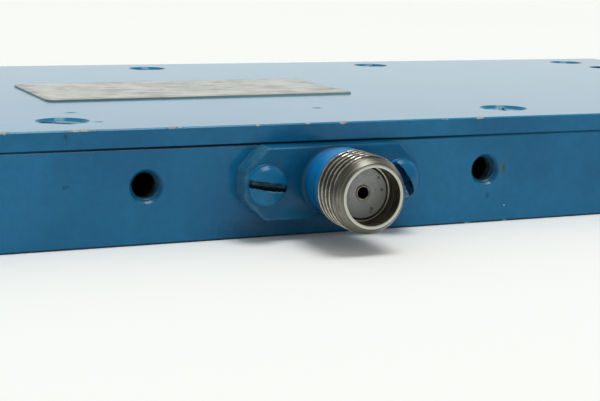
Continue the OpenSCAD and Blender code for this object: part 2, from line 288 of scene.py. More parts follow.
def painted_case(name, chips_and_glints, primer_and_glint_tones, marks_and_shadow, bare):
    """Painted metal in the part's frame, chipped at named spots and along its edges, and bare inside."""
    g = Graph(name)
    ragged = g.span(g.noise(2.4, 4.0, 0.7), 0.2, 0.8, -0.65, 0.65, smooth=False)
    # Distance to the nearest outer wall and to the nearest outer edge
    to_side = g.math("SUBTRACT", FACE, g.math("ABSOLUTE", g.y))
    to_end = g.math("SUBTRACT", HALF_LENGTH, g.math("ABSOLUTE", g.x))
    to_wall = g.math("MINIMUM", to_side, to_end)
    to_top = g.math("ABSOLUTE", g.math("SUBTRACT", g.z, TOP))
    to_foot = g.math("ABSOLUTE", g.z)
    to_rim = g.math("MAXIMUM", g.math("MINIMUM", to_top, to_foot), to_wall)
    to_corner = g.math("MAXIMUM", to_side, to_end)
    to_edge = g.math("MINIMUM", to_rim, to_corner)
    # Upward faces are painted paler, a painted reflection, more in some places than in others
    upward = g.upward()
    top_sheen = g.both(upward, g.span(g.noise(0.13, 4.0, 0.6), 0.3, 0.7, 0.74, 1.0))
    colour = g.blend(top_sheen, paint_colour(g), PAINT_TOP_SHEEN)
    marked_or_shaded = 0.0
    for centre, radii, strength, tone in marks_and_shadow:
        mark = g.math("MULTIPLY", g.spot(centre, radii, ragged, 0.5), strength)
        colour = g.blend(mark, colour, tone)
        marked_or_shaded = g.either(mark, marked_or_shaded)
    # Dirt lies in the seam, most of all in its middle. A dark line along the foot is painted shade, and so
    # is the darker ring in the tapped holes' mouths
    outside = g.span(to_wall, 0.4, 0.6, 1.0, 0.0)
    seam = g.span(g.math("ABSOLUTE", g.math("SUBTRACT", g.z, SEAM)), 0.09, 0.16, 1.0, 0.0)
    open_seam = g.span(g.math("ABSOLUTE", g.math("ADD", g.x, 5.0)), 8.0, 30.0, 0.9, 0.35)
    colour = g.blend(g.both(g.both(seam, outside), open_seam), colour, GRIME)
    foot = g.both(g.span(to_foot, 0.08, 0.2, 0.7, 0.0), outside)
    colour = g.blend(foot, colour, GRIME)
    mouth_shade = g.span(to_tapped_axis(g), TAPPED_R + 0.16, TAPPED_R + 0.24, 0.3, 0.0)
    colour = g.blend(mouth_shade, colour, GRIME)
    rare = g.span(g.noise(0.33, 4.0, 0.75), 0.63, 0.68)
    chip_or_glint = g.both(g.span(to_edge, 0.10, 0.24, 1.0, 0.0), rare)
    for centre, radii in chips_and_glints:
        chip_or_glint = g.either(chip_or_glint, g.spot(centre, radii, ragged))
    primer_or_glint = g.blend(g.span(g.noise(1.5, 3.0), 0.35, 0.65), *primer_and_glint_tones)
    colour = g.blend(chip_or_glint, colour, primer_or_glint)
    # The lid was rubbed down before it was painted, so its top is flatter and more even than the walls
    rough = g.blend(upward, g.grey(paint_rough(g)), (0.165, 0.165, 0.165))
    rough = g.blend(g.either(chip_or_glint, marked_or_shaded), rough, (0.6, 0.6, 0.6))
    paint = g.both(paint_height(g), g.math("SUBTRACT", 1.0, g.math("MULTIPLY", upward, 0.92)))
    height = g.math("SUBTRACT", paint, g.math("MULTIPLY", chip_or_glint, 6.0))
    inside = bare(g, to_wall)
    milled = g.span(g.noise(1.0, 3.0, 0.6, stretch=(0.4, 9.0, 9.0)), 0.3, 0.7)
    alloy = g.blend(milled, (0.52, 0.52, 0.50), (0.68, 0.68, 0.66))
    colour = g.blend(inside, colour, alloy)
    rough = g.blend(inside, rough, (0.38, 0.38, 0.38))
    height = g.math("ADD", height, g.math("MULTIPLY", g.both(inside, milled), 0.8))
    normal = g.bump(height, 0.01, g.rounded(0.12))
    return g.surface(colour, rough, normal, inside, ior=PAINT_IOR)


def pocket_inside(g, to_wall):
    """The milled pocket, the drilled holes and the joint face under the lid stay free of paint."""
    across = g.span(g.math("ABSOLUTE", g.y), BARE_Y, BARE_Y + 0.05, 1.0, 0.0)
    along = g.span(g.math("ABSOLUTE", g.x), BARE_X, BARE_X + 0.05, 1.0, 0.0)
    deep = g.both(g.both(across, along), g.span(g.z, 0.3, 0.4))
    joint = g.both(g.span(g.z, SEAM - 0.06, SEAM - 0.03), g.span(to_wall, 0.3, 0.5))
    return g.either(deep, joint)


def lid_underside(g, to_wall):
    """The lid's underside and the feet of its holes stay free of paint."""
    return g.both(g.span(g.z, SEAM + 0.05, SEAM + 0.15, 1.0, 0.0), g.span(to_wall, 0.3, 0.5))


def tapped_inside(g):
    """The bores of the two tapped front holes, below the paint at their mouths."""
    near = g.span(to_tapped_axis(g), TAPPED_R + 0.03, TAPPED_R + 0.06, 1.0, 0.0)
    return g.both(near, g.span(g.y, 0.6 - FACE, 1.0 - FACE))


def housing_bare(g, to_wall):
    return g.either(pocket_inside(g, to_wall), tapped_inside(g))


# Chips in the paint: a centre and three reaches along X, Y and Z
LID_CHIPS = [
    ((-27.0, -FACE, TOP), (0.5, 0.25, 0.16)),
    ((-20.8, -FACE, TOP), (1.3, 0.30, 0.14)),
    ((-13.5, -FACE, TOP), (0.35, 0.25, 0.14)),
    ((-12.8, -FACE, TOP), (0.22, 0.22, 0.12)),
    ((-6.1, -FACE, TOP), (0.22, 0.22, 0.12)),
    ((-1.7, -FACE, TOP), (0.25, 0.20, 0.10)),
    ((1.6, -FACE, TOP), (0.42, 0.35, 0.18)),
    ((14.9, -FACE, TOP), (0.42, 0.30, 0.16)),
    ((31.0, -FACE, TOP), (0.5, 0.25, 0.16)),
    ((-44.0, FACE, TOP), (0.7, 0.30, 0.15)),
    ((22.0, FACE, TOP), (0.5, 0.25, 0.14)),
]
# Marks on the paint: a centre, three reaches, a strength and a tone
LID_SCUFFS = [
    ((-19.05, -18.8, TOP), (0.45, 0.45, 0.2), 0.5, GRIME),
    ((-18.3, -25.6, TOP), (0.42, 0.18, 0.2), 0.9, GRIME),
    ((3.5, -20.4, TOP), (0.40, 0.40, 0.2), 0.6, GRIME),
    ((-22.05, -FACE, 9.05), (0.10, 0.2, 0.14), 0.5, GRIME),
    ((-22.0, -FACE, 8.55), (0.12, 0.2, 0.25), 0.15, GRIME),
]
HOUSING_CHIPS_AND_GLINTS = [
    ((14.1, -FACE, 0.0), (0.35, 0.2, 0.14)),
    ((17.9, -FACE, 0.0), (0.22, 0.2, 0.12)),
    # The two pale spots at the feet of the tapped holes are chipped paint and a painted glint on the chamfer
    ((-15.60, -FACE, AXIS_Z - 1.10), (0.10, 0.3, 0.07)),
    ((16.16, -FACE, AXIS_Z - 1.24), (0.13, 0.3, 0.07)),
    ((17.8, -FACE, 1.45), (0.10, 0.2, 0.06)),
    ((-58.0, -FACE, 0.0), (0.6, 0.2, 0.2)),
    ((-10.0, FACE, 0.0), (0.5, 0.2, 0.2)),
]
HOUSING_MARKS_AND_SHADOW = [
    ((-22.1, -FACE, 5.06), (0.28, 0.2, 0.10), 0.4, GRIME),
    ((-22.3, -FACE, 4.95), (0.10, 0.2, 0.10), 0.5, GRIME),
    ((16.0, -FACE, 2.45), (0.15, 0.2, 0.30), 0.4, GRIME),
    ((17.40, -FACE, 4.80), (0.24, 0.2, 0.65), 0.75, RUBBED),
    ((17.58, -FACE, 4.90), (0.10, 0.2, 0.50), 0.45, GRIME),
    # This wide dark patch below the input socket is a painted shadow of the socket on the case
    ((-2.0, -FACE, 0.9), (7.0, 0.2, 1.0), 0.3, GRIME),
]


def socket_colour(g, radius, behind, stain, lathe, marks):
    """Turned metal: rings on the nose, a stained thread with painted highlights on its crests and painted
    shade in its roots, a bright rim and a stained mouth.
    """
    metal = g.blend(stain, (0.16, 0.157, 0.127), (0.25, 0.246, 0.204))
    metal = g.blend(g.span(lathe, 0.40, 0.65, 0.0, 0.6), metal, (0.09, 0.083, 0.066))
    metal = g.blend(g.span(marks, 0.52, 0.66, 0.0, 0.7), metal, (0.42, 0.418, 0.352))
    # The thread's flanks are stained, its crests brighter in places, which is wear and a painted highlight,
    # and its roots painted dark as painted shade
    thread = g.span(behind, 0.7, 0.95)
    flank = g.both(thread, g.span(radius, THREAD_R - 0.10, THREAD_R - 0.04, 1.0, 0.0))
    brown = g.blend(stain, (0.075, 0.064, 0.045), (0.115, 0.105, 0.085))
    metal = g.blend(flank, metal, brown)
    rubbed = g.span(g.noise(3.5, 3.0, 0.7), 0.36, 0.52, 0.35, 1.0)
    crest_wear_and_glint = g.both(g.both(thread, g.span(radius, THREAD_R - 0.09, THREAD_R - 0.03)), rubbed)
    metal = g.blend(crest_wear_and_glint, metal, (0.54, 0.53, 0.45))
    root = g.both(thread, g.span(radius, THREAD_R - THREAD_DEPTH + 0.04, THREAD_R - 0.2, 1.0, 0.0))
    metal = g.blend(g.math("MULTIPLY", root, 0.9), metal, (0.018, 0.015, 0.011))
    # The flat rim and the step at the contact plane are bright, and the wall between them is stained
    rim = g.both(g.span(radius, MOUTH_R + 0.02, MOUTH_R + 0.05), g.span(behind, 0.02, 0.05, 1.0, 0.0))
    rim = g.both(rim, g.span(radius, RIM_R - 0.06, RIM_R - 0.02, 1.0, 0.0))
    metal = g.blend(rim, metal, (0.58, 0.585, 0.52))
    wall = g.blend(stain, (0.095, 0.086, 0.056), (0.15, 0.135, 0.092))
    ledge = g.span(radius, MOUTH_R - 0.115, MOUTH_R - 0.085)
    step = g.both(ledge, g.span(g.z, CONTACT_PLANE + 0.02, CONTACT_PLANE + 0.05, 1.0, 0.0))
    upper = g.span(g.y, -1.6, -0.2)
    wall = g.blend(step, wall, g.blend(upper, (0.78, 0.74, 0.64), (0.90, 0.92, 0.85)))
    # Inside the ledge, the groove round the insulator is painted darker, as painted shade
    wall = g.blend(g.invert(ledge), wall, (0.075, 0.073, 0.060))
    mouth = g.both(g.span(radius, MOUTH_R + 0.02, MOUTH_R + 0.06, 1.0, 0.0), g.span(behind, 0.05, 0.1))
    return g.blend(mouth, metal, wall)


def socket_paint(g, radius, barrel):
    """Paint, thin and dark on the flange and thick on the barrel, with the barrel's top painted paler and
    its underside darker, as painted light and shade.
    """
    # The barrel's top is painted paler and its underside darker, as painted light and shade
    barrel_light_and_shade = g.span(g.y, -2.2, 2.2, 0.26, 1.5, smooth=False)
    barrel_tint_and_light = g.blend(1.0, (1.0, 1.08, 1.25), g.grey(barrel_light_and_shade), "MULTIPLY")
    paint = g.blend(1.0, paint_colour(g), g.blend(barrel, (0.78, 0.82, 0.82), barrel_tint_and_light), "MULTIPLY")
    # The flange is painted darker round the barrel's foot, as painted shade
    foot = g.both(g.span(radius, 3.0, 5.2, 0.35, 0.0), g.invert(barrel))
    paint = g.blend(foot, paint, GRIME)
    # The outline of the input's flange is painted paler on its left, a painted highlight where its bevel
    # catches the light
    sideways = g.math("ABSOLUTE", g.x)
    slanted = g.math("ADD", sideways, g.math("ABSOLUTE", g.y))
    end = INPUT_FLANGE / 2
    corner = end + FLANGE_HEIGHT / 2 - FLANGE_CUT
    edge = g.either(g.span(sideways, end - 0.4, end - 0.2), g.span(slanted, corner - 0.55, corner - 0.3))
    left_highlight = g.span(g.x, -2.0, 2.0, 0.3, 0.0)
    edge = g.both(g.both(edge, left_highlight), g.span(g.noise(0.9, 3.0, 0.6), 0.3, 0.6))
    return g.blend(edge, paint, (0.12, 0.24, 0.28))


def socket_finish():
    """Bare metal at the front of a socket and paint behind it, in the socket's own frame with Z outwards."""
    g = Graph("socket_finish")
    radius = g.vector("LENGTH", g.join(g.x, g.y, 0.0))
    behind = g.math("SUBTRACT", REACH, g.z)
    ragged = g.span(g.noise(1.3, 3.0, 0.6), 0.2, 0.8, -0.16, 0.16, smooth=False)
    level = g.math("ADD", g.z, ragged)
    outer = g.span(radius, MOUTH_R + 0.12, MOUTH_R + 0.16)
    painted = g.both(g.span(level, BARE_FROM - 0.06, BARE_FROM + 0.06, 1.0, 0.0), outer)
    bare = g.invert(painted)
    barrel = g.span(g.z, FLANGE, FLANGE + 0.3)
    stain = g.span(g.noise(0.8, 4.0, 0.65), 0.3, 0.7)
    lathe = g.noise(5.0, 3.0, 0.7, at=g.join(radius, g.z, 0.0))
    marks = g.noise(8.0, 2.0, 0.6, at=g.join(behind, g.span(stain, 0.0, 1.0, 0.0, 0.06), 0.0))
    metal = socket_colour(g, radius, behind, stain, lathe, marks)
    colour = g.blend(painted, metal, socket_paint(g, radius, barrel))
    bare_rough = g.math("ADD", g.span(lathe, 0.3, 0.7, 0.20, 0.36), g.span(behind, 0.05, 0.9, 0.14, 0.0))
    # The thick paint is duller, most of all at the barrel's heel
    thick_rough = g.math("ADD", paint_rough(g), g.math("MULTIPLY", barrel, 0.12))
    heel = g.span(g.z, FLANGE + 0.25, FLANGE + 0.7, 1.0, 0.0)
    heel = g.both(g.span(g.z, FLANGE + 0.001, FLANGE + 0.01), heel)
    thick_rough = g.math("ADD", thick_rough, g.math("MULTIPLY", heel, 0.3))
    rough = g.blend(painted, g.grey(bare_rough), g.grey(thick_rough))
    grain = g.math("ADD", g.math("MULTIPLY", lathe, 0.6), g.math("MULTIPLY", marks, 1.2))
    height = g.math("ADD", g.both(paint_height(g), painted), g.both(grain, bare))
    height = g.math("ADD", height, g.math("MULTIPLY", painted, 4.0))
    return g.surface(colour, rough, g.bump(height, 0.01), bare, ior=PAINT_IOR)


def screw_finish(name, steel_from, slot_shade_tone):
    """Painted screw heads with scraped slots, in the head's own frame with the slot along X.

    The slot's floor is bare steel above a given height across it, and elsewhere holds a dark tone, painted
    shade over any old paint that fills it."""
    g = Graph(name)
    ragged = g.span(g.noise(2.0, 4.0, 0.7), 0.2, 0.8, -0.10, 0.10, smooth=False)
    across = g.math("ADD", g.math("ABSOLUTE", g.y), ragged)
    in_slot = g.both(g.span(across, SLOT_HALF - 0.05, SLOT_HALF, 1.0, 0.0), g.span(g.z, -0.9, -0.8))
    grain = g.noise(3.0, 3.0, 0.7, stretch=(0.3, 2.0, 2.0))
    steel = g.blend(g.span(grain, 0.3, 0.7), (0.013, 0.038, 0.056), (0.050, 0.092, 0.105))
    # Below this height across the slot, the slot is painted dark, as painted shade
    steel_share = g.span(g.math("ADD", g.y, ragged), steel_from - 0.06, steel_from + 0.06)
    colour = g.blend(in_slot, paint_colour(g), g.blend(steel_share, slot_shade_tone, steel))
    # The paint is worn off the slot's lower lip in places
    lip = g.both(g.span(across, SLOT_HALF - 0.05, SLOT_HALF), g.span(across, 0.37, 0.45, 1.0, 0.0))
    lip = g.both(lip, g.span(g.noise(1.4, 3.0), 0.44, 0.58))
    lip = g.both(lip, g.both(g.span(g.y, -0.25, -0.15, 1.0, 0.0), g.span(g.x, -0.5, 0.4)))
    colour = g.blend(g.math("MULTIPLY", lip, 0.55), colour, (0.28, 0.30, 0.28))
    head_rough = g.math("ADD", paint_rough(g), 0.1)
    rough = g.blend(in_slot, g.grey(head_rough), (0.42, 0.42, 0.42))
    normal = g.bump(paint_height(g), 0.01)
    return g.surface(colour, rough, normal, in_slot, ior=PAINT_IOR)


def lid_screw_finish():
    """Lid screws: painted heads, paler on top as a painted reflection and darker low in the slot and round
    the rim, with plain steel below.
    """
    g = Graph("lid_screw_finish")
    shank = g.span(g.z, SEAM, SEAM + 0.3, 1.0, 0.0)
    steel = g.blend(g.span(g.noise(4.0, 3.0), 0.3, 0.7), (0.30, 0.30, 0.29), (0.55, 0.55, 0.53))
    low = g.span(g.z, TOP - 0.65, TOP - 0.35, 1.0, 0.0)
    # Upward faces of the heads are painted paler, a painted reflection
    colour = g.blend(g.math("MULTIPLY", g.upward(), 0.9), paint_colour(g), PAINT_TOP_SHEEN)
    colour = g.blend(g.math("MULTIPLY", low, 0.7), colour, GRIME)
    colour = g.blend(shank, colour, steel)
    normal = g.bump(paint_height(g), 0.012, g.rounded(0.1))
    return g.surface(colour, paint_rough(g), normal, shank, ior=PAINT_IOR)


def plate_finish():
    """A bare foil nameplate: rubbed patches, rows of smudges in place of print, dirt at its edges and
    painted shade on its thin edge faces.
    """
    g = Graph("plate_finish")
    low, high = (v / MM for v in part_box("nameplate"))
    middle, half = (low + high) / 2, (high - low) / 2
    streak = g.noise(0.9, 4.0, 0.65, stretch=(0.35, 1.6, 1.0))
    colour = g.blend(g.span(streak, 0.3, 0.7), (0.50, 0.505, 0.465), (0.66, 0.665, 0.63))
    patch = g.span(g.noise(0.22, 5.0, 0.7, stretch=(0.7, 1.5, 1.0)), 0.42, 0.72)
    colour = g.blend(g.math("MULTIPLY", patch, 0.75), colour, (0.27, 0.27, 0.255))
    rows = g.span(g.math("SINE", g.math("MULTIPLY", g.y, 1.9)), -0.3, 0.5)
    smudge = g.both(rows, g.span(g.noise(0.8, 4.0, 0.7, stretch=(0.55, 1.0, 1.0)), 0.50, 0.64))
    colour = g.blend(g.math("MULTIPLY", smudge, 0.65), colour, (0.17, 0.165, 0.16))
    to_end = g.math("SUBTRACT", half.x, g.math("ABSOLUTE", g.math("SUBTRACT", g.x, middle.x)))
    to_side = g.math("SUBTRACT", half.y, g.math("ABSOLUTE", g.math("SUBTRACT", g.y, middle.y)))
    border = g.span(g.math("MINIMUM", to_end, to_side), 0.5, 1.3, 0.45, 0.0)
    colour = g.blend(g.both(border, g.span(g.noise(0.5, 3.0), 0.3, 0.6)), colour, (0.20, 0.21, 0.19))
    # More dirt lies along the front edge, most of all on the right
    rightward = g.span(g.x, low.x + 6.0, high.x - 6.0)
    askew = g.math("MULTIPLY", g.math("SUBTRACT", g.x, low.x), math.tan(PLATE_TURN))
    to_front = g.math("SUBTRACT", g.math("SUBTRACT", g.y, low.y), askew)
    front = g.both(g.span(to_front, 0.2, 1.8, 0.8, 0.0), g.span(rightward, 0.0, 1.0, 0.35, 1.0))
    colour = g.blend(front, colour, (0.25, 0.29, 0.23))
    # The plate's thin edge faces are painted darker as painted shade, most of all on the left
    side = g.span(g.z, high.z - 0.06, high.z - 0.03, 1.0, 0.0)
    colour = g.blend(side, colour, g.blend(rightward, (0.24, 0.28, 0.22), (0.42, 0.47, 0.40)))
    rough = g.span(g.noise(0.6, 3.0), 0.3, 0.7, 0.36, 0.52)
    scratch = g.noise(2.0, 3.0, 0.7, stretch=(0.15, 4.0, 1.0))
    dent = g.noise(0.25, 2.0)
    normal = g.bump(g.math("ADD", scratch, g.math("MULTIPLY", dent, 6.0)), 0.006)
    return g.surface(colour, rough, normal, 0.25)


# Specks on the input's insulator: a centre along X and Z, a reach and a strength
INSULATOR_SPECKS = [
    ((1.31, 5.98), 0.14, 0.55),
    ((1.64, 4.98), 0.12, 0.75),
    ((0.76, 3.50), 0.13, 0.7),
    ((0.70, 3.24), 0.11, 0.6),
    ((1.30, 6.32), 0.10, 0.5),
    ((-0.55, 6.05), 0.06, 0.5),
]


def insulator_finish():
    """Waxy white fluoropolymer, greyed by use, with a few dark specks."""
    g = Graph("insulator_finish")
    tone = g.span(g.noise(0.9, 3.0), 0.3, 0.7)
    colour = g.blend(tone, (0.33, 0.345, 0.335), (0.43, 0.44, 0.435))
    dapple = g.span(g.noise(3.0, 4.0, 0.7), 0.35, 0.65, 0.0, 0.35)
    colour = g.blend(dapple, colour, (0.22, 0.225, 0.21))
    # The input's insulator is painted darker towards its lower right, a painted shadow of the rim
    slope = g.math("SUBTRACT", g.x, g.math("SUBTRACT", g.z, AXIS_Z))
    rim_shadow = g.both(g.span(slope, -1.0, 2.6, 0.0, 0.55), g.span(g.y, -1.0, 1.0, 1.0, 0.0))
    colour = g.blend(rim_shadow, colour, (0.17, 0.17, 0.155))
    speck = g.span(g.cells(0.9), 0.04, 0.08, 0.7, 0.0)
    colour = g.blend(speck, colour, (0.05, 0.05, 0.05))
    ragged = g.span(g.noise(6.0, 3.0), 0.2, 0.8, -0.4, 0.4, smooth=False)
    for (x, z), reach, strength in INSULATOR_SPECKS:
        spot = g.spot((x, -FACE - CONTACT_PLANE, z), (reach, 0.2, reach), ragged, 0.4)
        colour = g.blend(g.math("MULTIPLY", spot, strength), colour, (0.03, 0.03, 0.03))
    normal = g.bump(g.noise(4.0, 3.0), 0.008)
    return g.surface(colour, g.span(g.noise(2.0), 0.3, 0.7, 0.42, 0.58), normal, ior=1.38)


def gold_finish(name, to_axis):
    """Thin gold plating over brass, dulled in places, and painted black inside the bore as painted shade."""
    g = Graph(name)
    dull = g.span(g.noise(2.5, 4.0, 0.65), 0.35, 0.65)
    colour = g.blend(dull, (0.24, 0.215, 0.16), (0.15, 0.138, 0.11))
    radius = g.vector("LENGTH", g.join(to_axis(g), 0.0, g.math("SUBTRACT", g.z, AXIS_Z)))
    # The bore is painted black, as painted shade
    bore_shade = g.span(radius, CONTACT_BORE_R + 0.01, CONTACT_BORE_R + 0.03, 1.0, 0.0)
    bore_shade = g.both(bore_shade, g.span(g.math("ABSOLUTE", g.y), FACE, FACE + 0.1))
    colour = g.blend(bore_shade, colour, (0.004, 0.0035, 0.003))
    # The seam round the contact is darker, most of all at the upper left
    lean = g.math("SUBTRACT", to_axis(g), g.math("SUBTRACT", g.z, AXIS_Z))
    edge = g.span(radius, CONTACT_R - 0.07, CONTACT_R - 0.035)
    seam = g.both(edge, g.span(lean, -0.75, 0.35, 1.0, 0.0))
    colour = g.blend(seam, colour, (0.012, 0.011, 0.009))
    normal = g.bump(g.noise(12.0, 3.0, 0.7, stretch=(1.0, 0.2, 1.0)), 0.004)
    return g.surface(colour, g.span(dull, 0.0, 1.0, 0.25, 0.45), normal, g.invert(bore_shade))


def to_input_axis(g):
    return g.x


def to_output_axis(g):
    """Sideways distance to the nearest output axis: these stand at odd multiples of half their pitch."""
    return g.math("SUBTRACT", HALF_PITCH, g.math("PINGPONG", g.x, HALF_PITCH))


def board_finish():
    """Glass-filled laminate with a faint weave."""
    g = Graph("board_finish")
    along = g.math("SINE", g.math("MULTIPLY", g.x, 14.0))
    across = g.math("SINE", g.math("MULTIPLY", g.y, 14.0))
    weave = g.math("MULTIPLY", along, across)
    colour = g.blend(g.span(weave, -1.0, 1.0), (0.62, 0.56, 0.40), (0.72, 0.67, 0.51))
    colour = g.blend(g.span(g.noise(0.3, 3.0), 0.45, 0.7, 0.0, 0.3), colour, (0.48, 0.40, 0.25))
    return g.surface(colour, g.span(g.noise(1.0), 0.3, 0.7, 0.45, 0.6), g.bump(weave, 0.005))


def copper_finish():
    """Etched copper, darkened by handling."""
    g = Graph("copper_finish")
    tarnish = g.span(g.noise(0.35, 4.0, 0.65), 0.42, 0.7)
    colour = g.blend(tarnish, (0.80, 0.42, 0.25), (0.42, 0.20, 0.12))
    normal = g.bump(g.noise(6.0, 3.0), 0.004)
    return g.surface(colour, g.span(tarnish, 0.0, 1.0, 0.28, 0.5), normal, 1.0)


def resistor_finish():
    """Black glaze between two tinned ends. The resistors stand at multiples of the outputs' pitch."""
    g = Graph("resistor_finish")
    grain = g.noise(5.0, 3.0)
    tinned = g.span(g.math("PINGPONG", g.x, HALF_PITCH), GLAZE, GLAZE + 0.05)
    colour = g.blend(g.span(grain, 0.3, 0.7), (0.012, 0.012, 0.013), (0.035, 0.035, 0.037))
    colour = g.blend(tinned, colour, (0.60, 0.60, 0.58))
    return g.surface(colour, g.span(grain, 0.3, 0.7, 0.25, 0.4), g.bump(grain, 0.005), tinned)


def steel_finish():
    """Plain steel screws with a brushed sheen and a little rust."""
    g = Graph("steel_finish")
    brushed = g.noise(5.0, 3.0, 0.7, stretch=(0.3, 3.0, 1.0))
    colour = g.blend(g.span(brushed, 0.3, 0.7), (0.46, 0.46, 0.44), (0.66, 0.66, 0.64))
    colour = g.blend(g.span(g.noise(1.2, 4.0, 0.7), 0.66, 0.76, 0.0, 0.6), colour, (0.20, 0.12, 0.07))
    return g.surface(colour, g.span(brushed, 0.3, 0.7, 0.25, 0.42), g.bump(brushed, 0.004), 1.0)


def hole_finish():
    """The cut thread of a tapped hole, painted over at its mouth, dark with old oil further in, and painted
    black deeper still as painted shade.
    """
    g = Graph("hole_finish")
    depth = g.math("MULTIPLY", g.z, -1.0)
    ragged = g.span(g.noise(1.5, 3.0), 0.2, 0.8, -0.4, 0.4)
    mouth = g.span(g.math("ADD", depth, ragged), 0.3, 1.5, 0.65, 0.0)
    oily = g.blend(g.span(g.noise(2.0, 3.0), 0.3, 0.7), (0.016, 0.030, 0.034), (0.045, 0.060, 0.062))
    # Deeper in, the hole is painted black, as painted shade
    deep = g.span(depth, 1.2, 2.1)
    oily = g.blend(deep, oily, (0.004, 0.004, 0.004))
    colour = g.blend(mouth, oily, paint_colour(g))
    return g.surface(colour, g.span(g.noise(2.0), 0.3, 0.7, 0.3, 0.45), g.bump(g.noise(3.0, 3.0), 0.01))


# Pieces built here


def add_piece(name, mesh, matrix, material, stands_for=()):
    """Places a mesh on the body. A mesh that several pieces share gets its material once."""
    piece = bpy.data.objects.new(name, mesh)
    bpy.context.scene.collection.objects.link(piece)
    piece.matrix_world = matrix
    if not mesh.materials:
        mesh.materials.append(material)
    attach(piece, "root")
    if stands_for:
        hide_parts(*stands_for)


def finish_mesh(bm, name, smooth_angle=35.0):
    """A shaded mesh in metres from one drawn in millimetres."""
    bmesh.ops.recalc_face_normals(bm, faces=bm.faces)
    mesh = bpy.data.meshes.new(name)
    bm.to_mesh(mesh)
    bm.free()
    mesh.transform(Matrix.Scale(MM, 4))
    mesh.shade_smooth()
    mesh.set_sharp_from_angle(angle=math.radians(smooth_angle))
    return mesh


def ease(value, low, high):
    """A smooth step from 0 at low to 1 at high."""
    t = min(max((value - low) / (high - low), 0.0), 1.0)
    return t * t * (3 - 2 * t)


def thread_form(phase):
    """Height of a 60 degree thread with flat crests and roots, from 0 to 1, over one turn."""
    away = abs(phase % 1.0 - 0.5) * 2
    return min(max((0.875 - away) / 0.75, 0.0), 1.0)


def revolve(bm, rows, count, close=False):
    """Joins rows of points, each a ring of count points, with faces."""
    rings = [[bm.verts.new(p) for p in row] for row in rows]
    pairs = list(zip(rings, rings[1:]))
    if close:
        pairs.append((rings[-1], rings[0]))
    for a, b in pairs:
        for k in range(count):
            n = (k + 1) % count
            bm.faces.new((a[k], a[n], b[n], b[k]))


def ring(radius, height, count):
    steps = [2 * math.pi * k / count for k in range(count)]
    return [(radius * math.cos(s), radius * math.sin(s), height) for s in steps]


def nose_limit(behind):
    """Largest radius of the barrel at a distance behind its rim: the nose rounds over to the thread."""
    ahead = max(1 - behind / NOSE, 0.0)
    return THREAD_R - (THREAD_R - RIM_R) * ahead ** 1.5


def barrel_rows(count, step):
    """A socket's barrel from the flange to the rim and back down inside, with a right-hand thread."""
    rows = [ring(INSULATOR_R + 0.03, 0.05, count), ring(NECK_R, 0.05, count)]
    for k in range(7):
        turn = math.pi / 2 * k / 6
        radius = NECK_R + NECK_FILLET * (1 - math.sin(turn))
        rows.append(ring(radius, FLANGE + 0.002 + NECK_FILLET * (1 - math.cos(turn)), count))
    rows.append(ring(NECK_R, SHOULDER - 0.25, count))
    for k in range(6):
        level = SHOULDER - 0.15 + 0.6 * k / 5
        swell = ease(level, SHOULDER - 0.2, SHOULDER + 0.45)
        rows.append(ring(NECK_R + (THREAD_R - PLAIN_BELOW - NECK_R) * swell, level, count))
    level = SHOULDER + 0.6
    while level < REACH - 0.02:
        behind = REACH - level
        fade = ease(level, BARE_FROM - 0.35, BARE_FROM + 0.1) * ease(behind, 0.45, 0.95)
        row = []
        for k in range(count):
            share = k / count
            turns = (FIRST_CREST - behind) / PITCH - share
            radius = THREAD_R - PLAIN_BELOW * (1 - fade) - THREAD_DEPTH * fade * (1 - thread_form(turns))
            radius = min(radius, nose_limit(behind))
            angle = 2 * math.pi * share
            row.append((radius * math.cos(angle), radius * math.sin(angle), level))
        rows.append(row)
        level += step if level > BARE_FROM - 0.4 else 0.2
    for radius, level in (
        (RIM_R - 0.005, REACH - 0.012),
        (RIM_R - 0.025, REACH),
        (MOUTH_R + 0.05, REACH),
        (MOUTH_R + 0.012, REACH - 0.015),
        (MOUTH_R, REACH - 0.05),
        (MOUTH_R, CONTACT_PLANE + 0.03),
        (MOUTH_R - 0.02, CONTACT_PLANE),
        (INSULATOR_R + 0.10, CONTACT_PLANE),
        (INSULATOR_R + 0.08, CONTACT_PLANE - 0.02),
        (INSULATOR_R + 0.07, CONTACT_PLANE - 0.15),
        (INSULATOR_R + 0.03, CONTACT_PLANE - 0.2),
    ):
        rows.append(ring(radius, level, count))
    return rows


def add_flange(bm, length):
    """An eight-sided flange with paint-softened edges."""
    x, y, cut = length / 2, FLANGE_HEIGHT / 2, FLANGE_CUT
    outline = [
        (-x + cut, -y), (x - cut, -y), (x, -y + cut), (x, y - cut),
        (x - cut, y), (-x + cut, y), (-x, y - cut), (-x, -y + cut),
    ]
    foot = [bm.verts.new((px, py, 0.0)) for px, py in outline]
    head = [bm.verts.new((px, py, FLANGE)) for px, py in outline]
    bm.faces.new(head)
    bm.faces.new(list(reversed(foot)))
    for k in range(len(outline)):
        n = (k + 1) % len(outline)
        bm.faces.new((foot[k], foot[n], head[n], head[k]))
    soft = [e for e in bm.edges if any(v in head for v in e.verts)]
    bmesh.ops.bevel(bm, geom=soft, offset=0.32, segments=5, profile=0.5, affect="EDGES")


def socket_mesh(name, flange_length, count, step):
    bm = bmesh.new()
    add_flange(bm, flange_length)
    revolve(bm, barrel_rows(count, step), count, close=True)
    return finish_mesh(bm, name)


def slot_share(v):
    """1 on the floor of a screwdriver slot, 0 beside it, at a distance v from its middle."""
    return 1 - ease(abs(v), SLOT_HALF - SLOT_LIP, SLOT_HALF + SLOT_LIP * 0.4)


def head_rows():
    """Places across the head, close together at the slot's edges."""
    fine = [0.0, 0.1, 0.18, 0.22, 0.25, 0.28, 0.31, 0.34, 0.37, 0.41, 0.46, 0.53]
    beside = 0.62
    rest = SCREW_HEAD / 2 - beside
    wide = [beside + rest * math.sin(math.pi / 2 * k / 9) for k in range(10)]
    return sorted({side * v for side in (-1, 1) for v in fine + wide})


